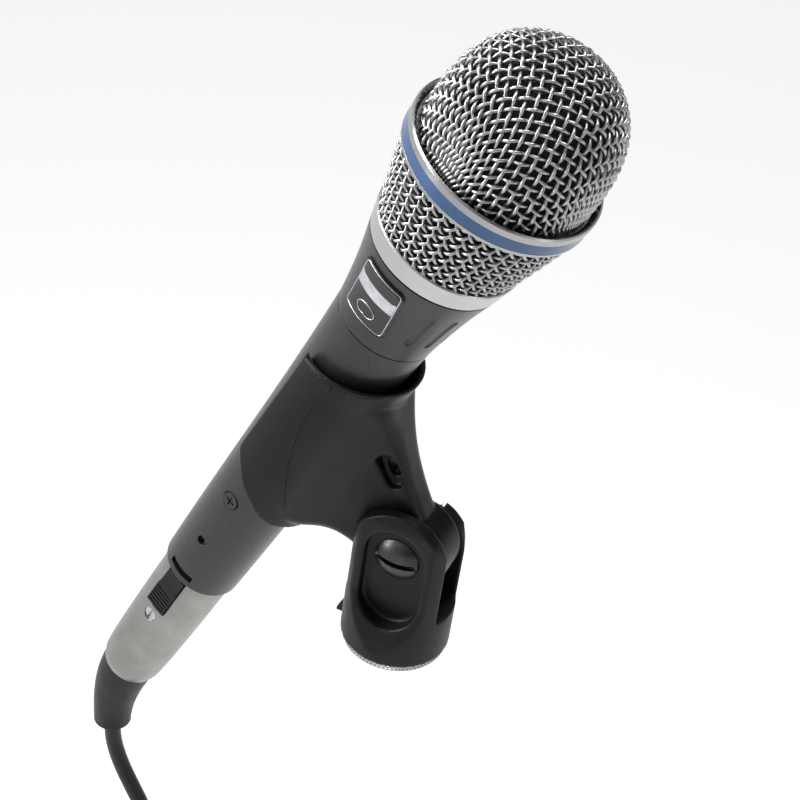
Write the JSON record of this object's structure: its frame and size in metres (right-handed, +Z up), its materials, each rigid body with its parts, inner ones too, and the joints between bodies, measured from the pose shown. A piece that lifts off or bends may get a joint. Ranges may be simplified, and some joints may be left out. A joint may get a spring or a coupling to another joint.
{
  "type": "handheld vocal microphone in a stand clip",
  "caption": "Handheld vocal microphone with a woven-wire head, held in a tilting threaded stand clip, with its latched lead plugged in and its spare length tied in a coil.",
  "frame": {"origin": "mouth of the clip's stand thread, on the thread's axis", "axes": "+Z up along the stand thread into the clip, +X towards the side the microphone's head leans to, +Y along the clip's pivot away from the slotted screw head"},
  "size_m": [0.1794, 0.0516, 0.5278],
  "materials": {
    "clip_base": "satin black",
    "thread_insert": "darkened, knurled",
    "pivot_screw": "satin",
    "pivot_nut": "satin",
    "friction_washers": "matte",
    "clip_cradle": "satin black",
    "handle_shell": "fine metallic enamel, satin",
    "head_housing": "fine metallic enamel, satin",
    "badge_plate": "satin",
    "badge_field": "satin black with a light bar and a curve",
    "handle_screw": "satin",
    "clamp_screw": "satin",
    "capsule_housing": "satin",
    "capsule_grid": "satin",
    "diaphragm": "thin metallised film",
    "diaphragm_ring": "satin",
    "backplate": "satin",
    "backplate_insulator": "satin",
    "shock_mount": "matte",
    "capsule_carrier": "matte",
    "carrier_ring": "matte",
    "capsule_leads": "insulated wire",
    "preamp_board": "circuit board",
    "transistors": "matte",
    "capacitors": "printed sleeve without lettering",
    "board_chips": "matte",
    "board_leads": "insulated wire",
    "socket_insert": "matte",
    "contact_pins": "plated",
    "grille_collar": "satin, turned",
    "lower_grille": "woven wire",
    "band_lip": "satin, turned",
    "blue_band": "metallic steel blue",
    "dome_rim": "satin, turned",
    "dome_grille": "woven wire",
    "foam_liner": "open-cell foam",
    "plug_shell": "satin nickel",
    "plug_insulator": "matte",
    "plug_sockets": "plated",
    "latch_pin": "satin",
    "latch_spring": "satin",
    "plug_screw": "satin",
    "cable_clamp": "matte",
    "cable_core": "conductor bundle",
    "strain_boot": "matte",
    "cable": "matte",
    "cable_coil": "matte",
    "cable_tail": "matte",
    "cable_tie": "hook-and-loop",
    "far_boot": "matte",
    "far_shell": "satin nickel",
    "far_insulator": "matte",
    "far_pins": "plated",
    "far_screw": "satin",
    "plug_latch": "satin black"
  },
  "bodies": {
    "base": {"clip_base": "clip_base", "thread_insert": "thread_insert", "pivot_screw": "pivot_screw", "pivot_nut": "pivot_nut", "friction_washers": "friction_washers"},
    "clip": {"clip_cradle": "clip_cradle"},
    "microphone": {"handle_shell": "handle_shell", "head_housing": "head_housing", "badge_plate": "badge_plate", "badge_field": "badge_field", "handle_screw": "handle_screw", "clamp_screw": "clamp_screw", "capsule_housing": "capsule_housing", "capsule_grid": "capsule_grid", "diaphragm": "diaphragm", "diaphragm_ring": "diaphragm_ring", "backplate": "backplate", "backplate_insulator": "backplate_insulator", "shock_mount": "shock_mount", "capsule_carrier": "capsule_carrier", "carrier_ring": "carrier_ring", "capsule_leads": "capsule_leads", "preamp_board": "preamp_board", "transistors": "transistors", "capacitors": "capacitors", "board_chips": "board_chips", "board_leads": "board_leads", "socket_insert": "socket_insert", "contact_pins": "contact_pins"},
    "grille": {"grille_collar": "grille_collar", "lower_grille": "lower_grille", "band_lip": "band_lip", "blue_band": "blue_band", "dome_rim": "dome_rim", "dome_grille": "dome_grille", "foam_liner": "foam_liner"},
    "plug": {"plug_shell": "plug_shell", "plug_insulator": "plug_insulator", "plug_sockets": "plug_sockets", "latch_pin": "latch_pin", "latch_spring": "latch_spring", "plug_screw": "plug_screw", "cable_clamp": "cable_clamp", "cable_core": "cable_core", "strain_boot": "strain_boot", "cable": "cable", "cable_coil": "cable_coil", "cable_tail": "cable_tail", "cable_tie": "cable_tie", "far_boot": "far_boot", "far_shell": "far_shell", "far_insulator": "far_insulator", "far_pins": "far_pins", "far_screw": "far_screw"},
    "latch": {"plug_latch": "plug_latch"}
  },
  "joints": [
    {"name": "clip_tilt", "type": "hinge", "parent": "base", "child": "clip", "pos_m": [0, 0, 0.034], "axis": [0, 1, 0], "range_deg": [-25, 95]},
    {"name": "mic_lift", "type": "slide", "parent": "clip", "child": "microphone", "axis": [0.3843, 0, 0.9232], "range_m": [0, 0.09]},
    {"name": "grille_off", "type": "slide", "parent": "microphone", "child": "grille", "axis": [0.3843, 0, 0.9232], "range_m": [0, 0.06]},
    {"name": "plug_pull", "type": "slide", "parent": "microphone", "child": "plug", "axis": [-0.3843, 0, -0.9232], "range_m": [0, 0.03]},
    {"name": "latch_press", "type": "hinge", "parent": "plug", "child": "latch", "pos_m": [-0.06734, -0.00692, -0.01661], "axis": [-0.8755, 0.3173, 0.3644], "range_deg": [0, 5], "stiffness_Nm_per_rad": 0.05, "springref_deg": -5.73}
  ]
}
